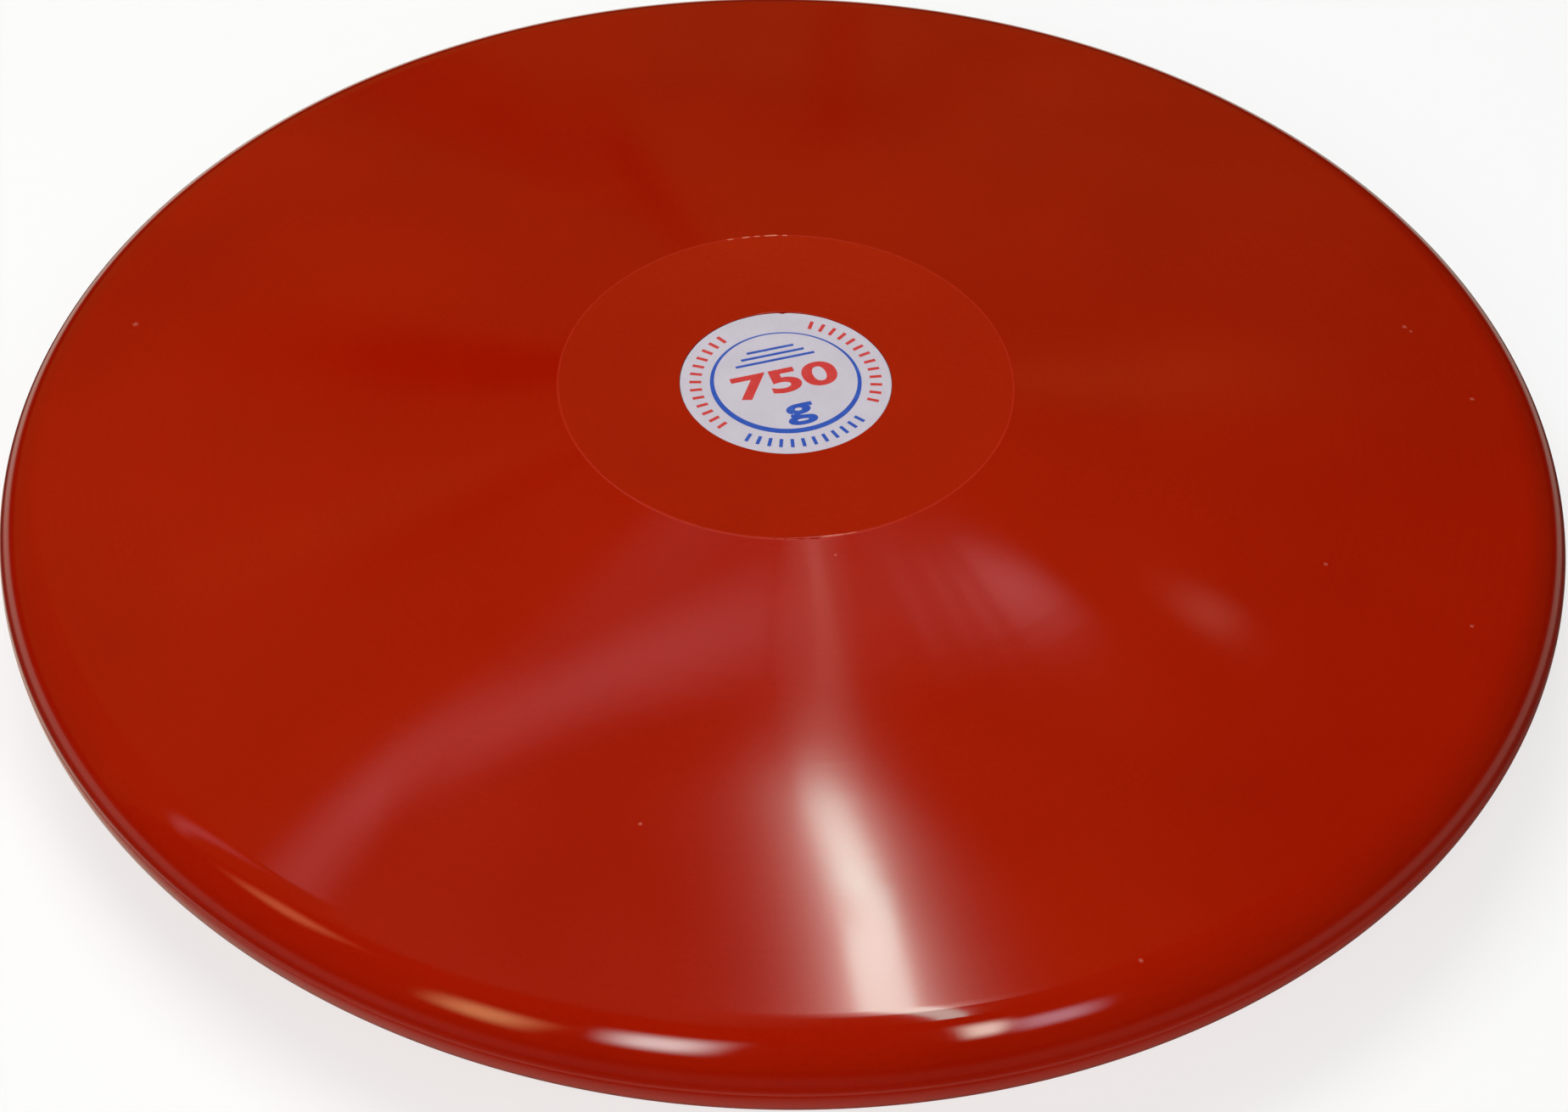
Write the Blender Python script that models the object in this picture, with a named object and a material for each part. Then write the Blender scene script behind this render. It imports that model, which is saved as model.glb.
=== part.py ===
"""A soft training discus: ten turned pieces in metres, +Z up, with the origin at its centre.

Every piece is round about Z, so each is drawn as a half section of (radius, height) points and
turned. The section is that of the upper half. The lower half hangs on an empty that is turned over
about X, and shares the meshes of the pieces that are alike in both halves.
"""

import math

import bmesh
import bpy

MM = 0.001

# Outer form
DISCUS_DIAMETER = 180 * MM
CENTRE_THICKNESS = 34 * MM
RIM_THICKNESS = 13 * MM
PLATE_DIAMETER = 51.5 * MM
LABEL_DIAMETER = 24 * MM

# Shells
WALL = 3.5 * MM
PLATE_LEDGE = 1.2 * MM

# Centre plates, each with a boss that passes through its shell into its core
PLATE_THICKNESS = 2 * MM
BOSS_DIAMETER = 16 * MM
BOSS_LENGTH = 4 * MM

# Labels, each set a little below the face of its plate
LABEL_THICKNESS = 0.3 * MM
LABEL_INSET = 0.1 * MM

# Steel weight in the pocket between the cores
WEIGHT_DIAMETER = 40 * MM
WEIGHT_THICKNESS = 5 * MM

# Clearances
FIT_GAP = 0.3 * MM
RING_CLEARANCE = 0.5 * MM

# Facets
TURN_SEGMENTS = 64
RIM_ARC_STEPS = 8
CHANNEL_ARC_STEPS = 4
ROD_STEPS = 12
MERGE_DISTANCE = 0.001 * MM
SHARP_ANGLE = math.radians(30)

# Finishes, each a linear colour, a roughness and a metallic value
SHELL_VINYL = ((0.37, 0.012, 0.003), 0.28, 0.0)
PLATE_VINYL = ((0.36, 0.016, 0.005), 0.32, 0.0)
LABEL_FILM = ((0.6, 0.57, 0.66), 0.35, 0.0)
CORE_FILLING = ((0.16, 0.15, 0.14), 0.8, 0.0)
RING_STEEL = ((0.42, 0.41, 0.4), 0.4, 1.0)
WEIGHT_STEEL = ((0.5, 0.49, 0.47), 0.45, 1.0)

# Worked out from the sizes above
HALF_THICKNESS = CENTRE_THICKNESS / 2
HALF_GAP = FIT_GAP / 2
PLATE_RADIUS = PLATE_DIAMETER / 2
SEAT_RADIUS = PLATE_RADIUS + FIT_GAP
BOSS_HOLE_RADIUS = BOSS_DIAMETER / 2 + FIT_GAP
PLATE_UNDERSIDE = HALF_THICKNESS - PLATE_THICKNESS
SEAT_FLOOR = PLATE_UNDERSIDE - FIT_GAP
SHELL_CEILING = SEAT_FLOOR - PLATE_LEDGE
RIM_RADIUS = RIM_THICKNESS / 2
RIM_CENTRE = DISCUS_DIAMETER / 2 - RIM_RADIUS
CHANNEL_RADIUS = RIM_RADIUS - WALL
ROD_RADIUS = CHANNEL_RADIUS - RING_CLEARANCE
CORE_EDGE = RIM_CENTRE - ROD_RADIUS - FIT_GAP

# The lap joint shares the wall between the tongue and the lip outside it, and reaches half way up
# the channel
TONGUE_INNER = RIM_CENTRE + CHANNEL_RADIUS
TONGUE_OUTER = TONGUE_INNER + (WALL - FIT_GAP) / 2
TONGUE_TOP = CHANNEL_RADIUS / 2
REBATE_RADIUS = TONGUE_OUTER + FIT_GAP
REBATE_CEILING = TONGUE_TOP + FIT_GAP


def arc(radius, start, end, steps):
    """Points of an arc about the rim's centre, from one angle to another, both ends included."""
    turn = (end - start) / steps
    angles = [start + turn * step for step in range(steps + 1)]
    return [(RIM_CENTRE + radius * math.cos(a), radius * math.sin(a)) for a in angles]


def side_slope():
    """Angle by which the straight side falls from the plate's edge until it touches the rim's arc."""
    reach = RIM_CENTRE - PLATE_RADIUS
    to_centre = math.atan2(HALF_THICKNESS, reach)
    return to_centre - math.asin(RIM_RADIUS / math.hypot(reach, HALF_THICKNESS))


SLOPE = side_slope()
TOUCH_ANGLE = math.pi / 2 - SLOPE


def side_height(radius, depth=0.0):
    """Height of the straight side at a radius, or of the surface that lies at a depth under it."""
    fall = (radius - PLATE_RADIUS) * math.tan(SLOPE)
    return HALF_THICKNESS - fall - depth / math.cos(SLOPE)


def side_radius(height, depth):
    """Radius at which the surface that lies at a depth under the side has a height."""
    return PLATE_RADIUS + (side_height(PLATE_RADIUS, depth) - height) / math.tan(SLOPE)


def angle_at(radius, height):
    """Angle of the point at a height on an arc about the rim's centre."""
    return math.asin(height / radius)


def shell_front():
    """Outer part of a shell's section, over the rim to the parting line. The turned face from the
    seat's corner to the first of these points is the straight side."""
    return arc(RIM_RADIUS, TOUCH_ANGLE, angle_at(RIM_RADIUS, HALF_GAP), RIM_ARC_STEPS)


def shell_back():
    """Inner part of a shell's section, from the ceiling over the core to the seat's corner."""
    return [
        (side_radius(SHELL_CEILING, WALL), SHELL_CEILING),
        (BOSS_HOLE_RADIUS, SHELL_CEILING),
        (BOSS_HOLE_RADIUS, SEAT_FLOOR),
        (SEAT_RADIUS, SEAT_FLOOR),
        (SEAT_RADIUS, side_height(SEAT_RADIUS)),
    ]


def upper_shell_section():
    """Over the rim to the parting line, up past the rebate, and back inside."""
    rebate = [(REBATE_RADIUS, HALF_GAP), (REBATE_RADIUS, REBATE_CEILING)]
    channel_start = angle_at(CHANNEL_RADIUS, REBATE_CEILING)
    channel = arc(CHANNEL_RADIUS, channel_start, TOUCH_ANGLE, CHANNEL_ARC_STEPS)
    return shell_front() + rebate + channel + shell_back()


def lower_shell_section():
    """Like the upper shell's section, but with the tongue, which stands past the parting line."""
    tongue = [
        (TONGUE_OUTER, HALF_GAP),
        (TONGUE_OUTER, -TONGUE_TOP),
        (TONGUE_INNER, -TONGUE_TOP),
    ]
    channel = arc(CHANNEL_RADIUS, 0, TOUCH_ANGLE, CHANNEL_ARC_STEPS)
    return shell_front() + tongue + channel + shell_back()


def core_section():
    """The pad under a shell, with the boss's socket above and the weight's pocket below."""
    depth = WALL + FIT_GAP
    top = SHELL_CEILING - FIT_GAP
    socket_floor = PLATE_UNDERSIDE - BOSS_LENGTH - FIT_GAP
    pocket_radius = WEIGHT_DIAMETER / 2 + FIT_GAP
    pocket_ceiling = WEIGHT_THICKNESS / 2 + FIT_GAP
    return [
        (0, socket_floor),
        (BOSS_HOLE_RADIUS, socket_floor),
        (BOSS_HOLE_RADIUS, top),
        (side_radius(top, depth), top),
        (CORE_EDGE, side_height(CORE_EDGE, depth)),
        (CORE_EDGE, HALF_GAP),
        (pocket_radius, HALF_GAP),
        (pocket_radius, pocket_ceiling),
        (0, pocket_ceiling),
    ]


def plate_section():
    """The centre plate, with the label's recess in its face and the boss under it."""
    recess_radius = LABEL_DIAMETER / 2 + FIT_GAP
    recess_floor = HALF_THICKNESS - LABEL_INSET - LABEL_THICKNESS - FIT_GAP
    boss_end = PLATE_UNDERSIDE - BOSS_LENGTH
    return [
        (0, recess_floor),
        (recess_radius, recess_floor),
        (recess_radius, HALF_THICKNESS),
        (PLATE_RADIUS, HALF_THICKNESS),
        (PLATE_RADIUS, PLATE_UNDERSIDE),
        (BOSS_DIAMETER / 2, PLATE_UNDERSIDE),
        (BOSS_DIAMETER / 2, boss_end),
        (0, boss_end),
    ]


def disc_section(diameter, top, bottom):
    """A plain flat disc on the axis."""
    return [(0, top), (diameter / 2, top), (diameter / 2, bottom), (0, bottom)]


def rod_section():
    """The round rod of the ballast ring. Its last point would repeat its first, so it is left out."""
    return arc(ROD_RADIUS, 0, 2 * math.pi, ROD_STEPS)[:-1]


def turned_mesh(name, section):
    """Turn a section once about Z. A section that starts on the axis is open there, others close."""
    bm = bmesh.new()
    points = [bm.verts.new((radius, 0, height)) for radius, height in section]
    edges = [bm.edges.new(pair) for pair in zip(points, points[1:])]
    if section[0][0] > 0:
        edges.append(bm.edges.new((points[-1], points[0])))
    bmesh.ops.spin(
        bm,
        geom=points + edges,
        cent=(0, 0, 0),
        axis=(0, 0, 1),
        angle=2 * math.pi,
        steps=TURN_SEGMENTS,
        use_duplicate=False,
    )
    bmesh.ops.remove_doubles(bm, verts=bm.verts, dist=MERGE_DISTANCE)
    bmesh.ops.recalc_face_normals(bm, faces=bm.faces)
    mesh = bpy.data.meshes.new(name)
    bm.to_mesh(mesh)
    bm.free()
    mesh.shade_smooth()
    mesh.set_sharp_from_angle(angle=SHARP_ANGLE)
    return mesh


def principled(name, finish):
    """A material of one plain finish."""
    colour, roughness, metallic = finish
    material = bpy.data.materials.new(name)
    material.use_nodes = True
    shader = material.node_tree.nodes["Principled BSDF"]
    shader.inputs["Base Color"].default_value = (*colour, 1)
    shader.inputs["Roughness"].default_value = roughness
    shader.inputs["Metallic"].default_value = metallic
    return material


def place(name, mesh, finish, carrier=None):
    """Make the object of a piece. Its material sits on the object, so pieces can share a mesh."""
    piece = bpy.data.objects.new(name, mesh)
    bpy.context.scene.collection.objects.link(piece)
    if not mesh.materials:
        mesh.materials.append(None)
    piece.material_slots[0].link = "OBJECT"
    piece.material_slots[0].material = principled(name, finish)
    piece.parent = carrier


def half(name, turned_over):
    """The empty that carries one half of the discus."""
    empty = bpy.data.objects.new(name, None)
    bpy.context.scene.collection.objects.link(empty)
    empty.empty_display_size = HALF_THICKNESS
    if turned_over:
        empty.rotation_euler.x = math.pi
    return empty


def clear_scene():
    """Take away whatever the scene held before."""
    for old in list(bpy.data.objects):
        bpy.data.objects.remove(old, do_unlink=True)


def build():
    clear_scene()
    label_top = HALF_THICKNESS - LABEL_INSET
    label = disc_section(LABEL_DIAMETER, label_top, label_top - LABEL_THICKNESS)
    shells = {
        "upper": turned_mesh("upper_shell", upper_shell_section()),
        "lower": turned_mesh("lower_shell", lower_shell_section()),
    }
    core_mesh = turned_mesh("core", core_section())
    plate_mesh = turned_mesh("centre_plate", plate_section())
    label_mesh = turned_mesh("label", label)

    for side, shell_mesh in shells.items():
        carrier = half(side + "_half", turned_over=side == "lower")
        place(side + "_shell", shell_mesh, SHELL_VINYL, carrier)
        place(side + "_centre_plate", plate_mesh, PLATE_VINYL, carrier)
        place(side + "_core", core_mesh, CORE_FILLING, carrier)
        place(side + "_label", label_mesh, LABEL_FILM, carrier)

    weight = disc_section(WEIGHT_DIAMETER, WEIGHT_THICKNESS / 2, -WEIGHT_THICKNESS / 2)
    place("ballast_ring", turned_mesh("ballast_ring", rod_section()), RING_STEEL)
    place("centre_weight", turned_mesh("centre_weight", weight), WEIGHT_STEEL)


build()
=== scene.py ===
# %% [markdown]
# # A soft training discus
#
# The real discus is a school and club implement: two halves of soft red vinyl, moulded and bonded
# at the rim, with a flat plate and a round label in the middle of each side. It has no metal rim.
# Almost everything that the eye reads on it is gloss on one colour, so this lesson spends its time
# on an outline that is exactly round, a vinyl that mirrors as vinyl does, and well placed lamps.
#
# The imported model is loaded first. It is the frame: every size below is read from it or is one of
# the few driving sizes of the real object.

# %% Load the frame
import math

import bpy
import numpy as np
from mathutils import Matrix, Vector


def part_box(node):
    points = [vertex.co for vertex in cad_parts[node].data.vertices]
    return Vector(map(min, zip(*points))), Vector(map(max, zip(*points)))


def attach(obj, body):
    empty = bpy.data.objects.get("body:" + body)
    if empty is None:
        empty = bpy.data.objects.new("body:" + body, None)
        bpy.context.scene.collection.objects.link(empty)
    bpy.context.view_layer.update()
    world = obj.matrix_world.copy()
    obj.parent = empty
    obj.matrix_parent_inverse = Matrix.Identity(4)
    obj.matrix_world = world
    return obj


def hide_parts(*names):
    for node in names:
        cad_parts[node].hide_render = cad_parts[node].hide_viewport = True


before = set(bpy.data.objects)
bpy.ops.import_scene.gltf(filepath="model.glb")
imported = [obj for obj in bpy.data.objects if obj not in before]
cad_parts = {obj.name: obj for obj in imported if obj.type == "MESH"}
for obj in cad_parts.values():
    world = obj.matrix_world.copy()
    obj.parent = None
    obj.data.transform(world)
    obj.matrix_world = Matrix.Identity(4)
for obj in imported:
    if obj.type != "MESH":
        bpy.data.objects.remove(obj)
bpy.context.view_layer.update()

MM = 0.001

print("nodes in the frame:", ", ".join(sorted(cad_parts)))

# %% [markdown]
# The pieces are all round about Z, so a piece is known by its radius and its two heights. They are
# read from the frame in millimetres, because a wall of 3.5 is easier to think about than 0.0035.
# What a box cannot tell, such as the wall or the rim's thickness, is written once here.

# %% Read the sizes
def round_size(node):
    """Radius, lowest and highest point of a round piece of the frame, in millimetres."""
    lowest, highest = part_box(node)
    return highest.x / MM, lowest.z / MM, highest.z / MM


SHELL_REACH = round_size("upper_shell")[0]
PLATE_RADIUS, BOSS_END, HALF_THICKNESS = round_size("upper_centre_plate")
LABEL_RADIUS, LABEL_BACK, LABEL_FACE = round_size("upper_label")
ROD_TOP = round_size("ballast_ring")[2]

# the name of each half, and whether it is turned over about X
HALVES = (("upper", False), ("lower", True))

RIM_THICKNESS = 13.0
WALL = 3.5
PLATE_THICKNESS = 2.0
PLATE_LEDGE = 1.2
BOSS_RADIUS = 8.0
PACKED_GAP = 0.3
SEAM_GAP = 0.05

RIM_RADIUS = RIM_THICKNESS / 2
RIM_CENTRE = SHELL_REACH - RIM_RADIUS
PLATE_UNDERSIDE = HALF_THICKNESS - PLATE_THICKNESS
SEAT_FLOOR = PLATE_UNDERSIDE - PACKED_GAP
CEILING = SEAT_FLOOR - PLATE_LEDGE
BOSS_HOLE = BOSS_RADIUS + PACKED_GAP
CHANNEL_RADIUS = RIM_RADIUS - WALL
SEAT_RADIUS = PLATE_RADIUS + SEAM_GAP

reach = RIM_CENTRE - PLATE_RADIUS
SLOPE = math.atan2(HALF_THICKNESS, reach) - math.asin(RIM_RADIUS / math.hypot(reach, HALF_THICKNESS))
TOUCH_ANGLE = math.pi / 2 - SLOPE

print(f"discus {2 * SHELL_REACH:.1f} mm across and {2 * HALF_THICKNESS:.1f} mm thick")
print(f"flat centre {2 * PLATE_RADIUS:.1f} mm, label {2 * LABEL_RADIUS:.1f} mm")
print(f"sides fall {math.degrees(SLOPE):.2f} degrees")

# %% [markdown]
# ## The camera
#
# A camera comes before the surfaces, so that each one can be judged from where it will be seen. The
# discus fills the picture, seen from 43 degrees above the horizon with a long lens, and the horizon
# leans by about one degree. Distance, lens and aim were found by fitting the circles of the rim and
# of the plate, because a circle's picture leaves no room for a wrong angle.

# %% Place the camera
# angles in radians, distances in metres
CAMERA_ELEVATION = 0.75033
CAMERA_LEAN = 0.02004
CAMERA_DISTANCE = 0.53239
CAMERA_AIM = Vector((0.000184, -0.010806, 0.0))
IMAGE_WIDTH = 1848
FOCAL_PIXELS = 5417.9
SENSOR_WIDTH = 36.0


def link(name, data):
    """A new object in the scene that shows a mesh, a text, a lamp or a camera."""
    shown = bpy.data.objects.new(name, data)
    bpy.context.scene.collection.objects.link(shown)
    return shown


camera_data = bpy.data.cameras.new("camera")
camera_data.sensor_fit = "HORIZONTAL"
camera_data.sensor_width = SENSOR_WIDTH
camera_data.lens = SENSOR_WIDTH * FOCAL_PIXELS / IMAGE_WIDTH
camera_data.clip_start = 0.05
camera_data.clip_end = 50.0

camera_place = Vector((0, -math.cos(CAMERA_ELEVATION), math.sin(CAMERA_ELEVATION))) * CAMERA_DISTANCE
ahead = (CAMERA_AIM - camera_place).normalized()
level_right = ahead.cross(Vector((0, 0, 1))).normalized()
lean = Matrix.Rotation(-CAMERA_LEAN, 3, ahead)
right = lean @ level_right
turn = Matrix((right, right.cross(ahead), -ahead)).transposed()

camera = link("camera", camera_data)
camera.matrix_world = Matrix.Translation(camera_place) @ turn.to_4x4()
bpy.context.scene.camera = camera
bpy.context.scene.view_settings.view_transform = "Standard"

print(f"camera {camera_place.length:.3f} m away, lens {camera_data.lens:.1f} mm")

# %% [markdown]
# ## Turned surfaces
#
# Both halves, both plates and the bead at the rim are shapes that a lathe could make: half a section
# turned once about Z. Blender has a Screw modifier and a Spin operator for that. Here one array is
# worked out instead: every point comes from one formula, nothing has to be merged, and the faces
# point outwards by construction.

# %% Turn a section into a mesh
TURNS = 384
SHARP_ANGLE = math.radians(32)


def around(count):
    """Angles that divide a full turn into equal steps."""
    return np.arange(count) * 2 * np.pi / count


def on_circle(angles):
    """Points (cos t, sin t)."""
    return np.column_stack([np.cos(angles), np.sin(angles)])


def carried_round(radius, angle, height):
    """Points (r cos t, r sin t, z)."""
    x = radius * np.cos(angle)
    return np.stack([x, radius * np.sin(angle), np.broadcast_to(height, x.shape)], axis=-1)


def grid_faces(rows, columns):
    """Faces of a grid whose columns close on themselves, with rows counted along the section.
    The face at row i and column j joins (i, j), (i, j+1), (i+1, j+1) and (i+1, j)."""
    i, j = np.meshgrid(np.arange(rows - 1), np.arange(columns), indexing="ij")
    after = (j + 1) % columns
    corners = (i * columns + j, i * columns + after, (i + 1) * columns + after, (i + 1) * columns + j)
    return np.stack(corners, axis=-1).reshape(-1, 4)


def closed_faces(rows, columns):
    """Faces of a grid whose rows close on themselves too."""
    return grid_faces(rows + 1, columns) % (rows * columns)


def fan_faces(pole, row_start, columns, pole_first):
    """Triangles between a pole and the row of points that starts at a number."""
    near = row_start + np.arange(columns)
    far = row_start + (np.arange(columns) + 1) % columns
    tips = np.full(columns, pole)
    return np.stack((far, near, tips) if pole_first else (near, far, tips), axis=-1)


def mesh_object(name, points_mm, faces, over=False):
    """An object at the origin whose mesh holds points given in millimetres, turned over about X for
    a piece of the lower half."""
    points = np.asarray(points_mm).reshape(-1, 3) * MM
    if over:
        points = points * (1, -1, -1)
    mesh = bpy.data.meshes.new(name)
    mesh.from_pydata(points, [], [face for part in faces for face in part.tolist()])
    mesh.validate()
    mesh.shade_smooth()
    mesh.set_sharp_from_angle(angle=SHARP_ANGLE)
    return link(name, mesh)


def turned(name, section, over=False):
    """A closed solid: section points (r, z) turned once about Z. The section runs counter-clockwise,
    with r to the right and z up. One that starts and ends on the axis gets a pole at each end, and
    any other one closes on itself."""
    section = np.asarray(section, float)
    on_axis = section[0, 0] == 0
    rows = section[1:-1] if on_axis else section
    points = carried_round(rows[:, :1], around(TURNS), rows[:, 1:]).reshape(-1, 3)
    if not on_axis:
        return mesh_object(name, points, [closed_faces(len(rows), TURNS)], over)
    first, last = len(points), len(points) + 1
    poles = [(0, 0, section[0, 1]), (0, 0, section[-1, 1])]
    fans = [fan_faces(first, 0, TURNS, True), fan_faces(last, first - TURNS, TURNS, False)]
    return mesh_object(name, np.vstack([points, poles]), [grid_faces(len(rows), TURNS), *fans], over)


def join(piece, node=None):
    """Make a piece move with the discus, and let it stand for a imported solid."""
    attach(piece, "root")
    if node:
        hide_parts(node)
    print(piece.name, "has", len(piece.data.polygons), "faces")
    return piece


# %% [markdown]
# Sections are built from straight runs cut into steps, so that the faces stay near square, arcs, and
# small rounded corners. A moulded edge is never a sharp line, and the eye finds it by the thin light
# that its rounding catches, so no outer corner is left sharp.

# %% Stretches of a section
def run(start, end, steps, hold=0.0):
    """Points along a straight line, both ends included. With hold there is one more point that close
    to each end, which stops the soft shading of a rounded end from spreading along the straight."""
    share = np.linspace(0, 1, steps + 1)
    if hold:
        near = hold / math.dist(start, end)
        share = np.sort(np.append(share, (near, 1 - near)))
    share = share[:, None]
    return (1 - share) * np.asarray(start, float) + share * np.asarray(end, float)


def arc(centre, radius, start, end, steps):
    """Points of a circle about a centre, from one angle to another, both ends included."""
    return np.asarray(centre, float) + radius * on_circle(np.linspace(start, end, steps + 1))


def corner(before, point, after, radius, steps=4):
    """A rounded corner: the curve that leaves towards the corner from one side and arrives from it on
    the other, weighting the start by (1-t)^2, the corner by 2t(1-t) and the end by t^2."""
    before, point, after = (np.asarray(p, float) for p in (before, point, after))
    start = point + (before - point) * radius / np.linalg.norm(before - point)
    end = point + (after - point) * radius / np.linalg.norm(after - point)
    t = np.linspace(0, 1, steps + 1)[:, None]
    return (1 - t) ** 2 * start + 2 * t * (1 - t) * point + t ** 2 * end


def side_height(radius, depth=0.0):
    """Height of the straight side at a radius, or of the surface at a depth under it."""
    return HALF_THICKNESS - (radius - PLATE_RADIUS) * math.tan(SLOPE) - depth / math.cos(SLOPE)


def side_radius(height, depth):
    """Radius at which the surface at a depth under the side has a height."""
    return PLATE_RADIUS + (side_height(PLATE_RADIUS, depth) - height) / math.tan(SLOPE)


# %% [markdown]
# ## The two shells
#
# Each half is a moulded shell with a wall of 3.5 mm. From the seat of the centre plate its side falls
# straight to a full-round rim. At the equator the two halves lap: the lower one has a tongue, which
# the upper one's rebate takes in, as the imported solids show. Outside, only a hairline is left of that
# joint, and beside it the surface dips a little, where the bead of flash was trimmed off.

# %% Model the shells
SIDE_STEPS = 40
RIM_STEPS = 44
RIM_CROWDING = 1.6
CHANNEL_STEPS = 10
CEILING_STEPS = 12
EDGE_ROUNDING = 0.14
EDGE_HOLD = 0.04
PARTING_GAP = 0.02
PARTING_DIP = 0.045
PARTING_DIP_ANGLE = 0.09

tongue_inner = RIM_CENTRE + CHANNEL_RADIUS
tongue_outer = tongue_inner + (WALL - PACKED_GAP) / 2
tongue_top = CHANNEL_RADIUS / 2
rebate_radius = tongue_outer + PACKED_GAP
rebate_ceiling = tongue_top + PACKED_GAP


def outer_face():
    """From the parting line over the rim and up the side to the seat's rounded lip. The rim's radius
    is less by PARTING_DIP at the equator, a dip that dies away as exp(-(angle/width)^2), and the
    steps are finest there."""
    start = math.asin(PARTING_GAP / RIM_RADIUS)
    angles = start + (TOUCH_ANGLE - start) * np.linspace(0, 1, RIM_STEPS + 1) ** RIM_CROWDING
    radius = RIM_RADIUS - PARTING_DIP * np.exp(-(angles / PARTING_DIP_ANGLE) ** 2)
    rim = (RIM_CENTRE, 0) + radius[:, None] * on_circle(angles)
    lip = (SEAT_RADIUS, side_height(SEAT_RADIUS))
    rounded_lip = corner(rim[-1], lip, (SEAT_RADIUS, SEAT_FLOOR), EDGE_ROUNDING)
    side = run(rim[-1], rounded_lip[0], SIDE_STEPS, EDGE_HOLD)
    return np.vstack([rim, side[1:-1], rounded_lip])


def inner_face():
    """From the seat's floor past the boss's hole and along the ceiling to the channel's end."""
    ceiling_end = (side_radius(CEILING, WALL), CEILING)
    ceiling = run((BOSS_HOLE, CEILING), ceiling_end, CEILING_STEPS)
    return np.vstack([[(SEAT_RADIUS, SEAT_FLOOR), (BOSS_HOLE, SEAT_FLOOR)], ceiling])


def shell_section(channel_end, joint):
    """A shell's whole section: both faces, the ballast ring's round channel inside the rim as far as
    an angle, and the half's own side of the joint."""
    channel = arc((RIM_CENTRE, 0), CHANNEL_RADIUS, TOUCH_ANGLE, channel_end, CHANNEL_STEPS)
    return np.vstack([outer_face(), inner_face(), channel, joint])


rebate = [(rebate_radius, rebate_ceiling), (rebate_radius, PARTING_GAP)]
tongue = [(tongue_inner, -tongue_top), (tongue_outer, -tongue_top), (tongue_outer, PARTING_GAP)]
sections = (shell_section(math.asin(rebate_ceiling / CHANNEL_RADIUS), rebate), shell_section(0, tongue))
shells = [
    join(turned(half + "_shell_moulding", section, over), half + "_shell")
    for (half, over), section in zip(HALVES, sections)
]

# %% [markdown]
# ## The bead at the parting line
#
# Where two mould halves meet, a little vinyl is squeezed out and trimmed. What stays is a bead about
# a twentieth of a millimetre high that runs round the equator and is never quite even. It could be a
# bump in the material, but seen from the side it breaks the outline of the rim, so it is a surface:
# a small round section carried along the equator, whose height swells and sinks as it goes.

# %% Model the parting bead
BEAD_HALF_WIDTH = 0.22
BEAD_HEIGHT = 0.05
BEAD_STEPS = 10
BEAD_TURNS = 720
BEAD_WANDER = 0.05
BEAD_ROOT = 0.01


def uneven(angles, waves, seed):
    """A smooth unevenness round a circle, from -1 to 1: the mean of sines with whole wave numbers,
    each with a phase drawn from a seeded generator."""
    phases = np.random.default_rng(seed).uniform(0, 2 * np.pi, len(waves))
    return np.mean([np.sin(wave * angles + phase) for wave, phase in zip(waves, phases)], axis=0)


def parting_bead():
    """An oval section carried round the equator. At angle t its height is scaled by 0.75 + 0.25 u(t)
    and it wanders up and down by BEAD_WANDER times another u(t)."""
    angles = around(BEAD_TURNS)
    swell = 0.75 + 0.25 * uneven(angles, (3, 7, 13, 29, 61), seed=5)
    wander = BEAD_WANDER * uneven(angles, (2, 5, 9, 17), seed=8)
    oval = around(BEAD_STEPS)[:, None]
    radius = SHELL_REACH - PARTING_DIP - BEAD_ROOT + BEAD_HEIGHT * swell * np.cos(oval)
    height = wander + BEAD_HALF_WIDTH * np.sin(oval) * (0.8 + 0.2 * swell)
    points = carried_round(radius, angles, height)
    return mesh_object("parting_bead", points, [closed_faces(BEAD_STEPS, BEAD_TURNS)])


bead = join(parting_bead())
print("it stands out to", round(max(v.co.x for v in bead.data.vertices) / MM, 3), "mm")

# %% [markdown]
# ## The centre plates
#
# A flat red plate closes the hole in each half. Its boss goes down through the shell into the core,
# and its face has a shallow recess for the label. On the real discus the plate fits so closely that
# its edge shows only as a fine pale circle, which is the light in two small roundings side by side.
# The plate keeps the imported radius, and the shell's seat above was drawn in to meet it.

# %% Model the plates
PLATE_STEPS = 14
BOSS_ROUNDING = 0.5
RECESS_ROUNDING = 0.06
RECESS_GAP = 0.02

label_recess = LABEL_RADIUS + SEAM_GAP
recess_floor = LABEL_BACK - RECESS_GAP


def plate_section():
    """Up the boss and the underside, over the rounded edge, across the face and into the recess."""
    boss_corner = (BOSS_RADIUS, BOSS_END)
    boss_top = (BOSS_RADIUS, PLATE_UNDERSIDE)
    under_edge = (PLATE_RADIUS, PLATE_UNDERSIDE)
    face_edge = (PLATE_RADIUS, HALF_THICKNESS)
    recess_edge = (label_recess, HALF_THICKNESS)
    rounded_edge = corner(under_edge, face_edge, recess_edge, EDGE_ROUNDING)
    rounded_recess = corner(face_edge, recess_edge, (label_recess, recess_floor), RECESS_ROUNDING)
    face = run(rounded_edge[-1], rounded_recess[0], PLATE_STEPS, EDGE_HOLD)
    return np.vstack([
        [(0, BOSS_END)],
        corner((0, BOSS_END), boss_corner, boss_top, BOSS_ROUNDING),
        [boss_top],
        corner(boss_top, under_edge, face_edge, EDGE_ROUNDING),
        rounded_edge,
        face[1:-1],
        rounded_recess,
        [(label_recess, recess_floor), (0, recess_floor)],
    ])


plates = [
    join(turned(half + "_plate_disc", plate_section(), over), half + "_centre_plate")
    for half, over in HALVES
]

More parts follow.
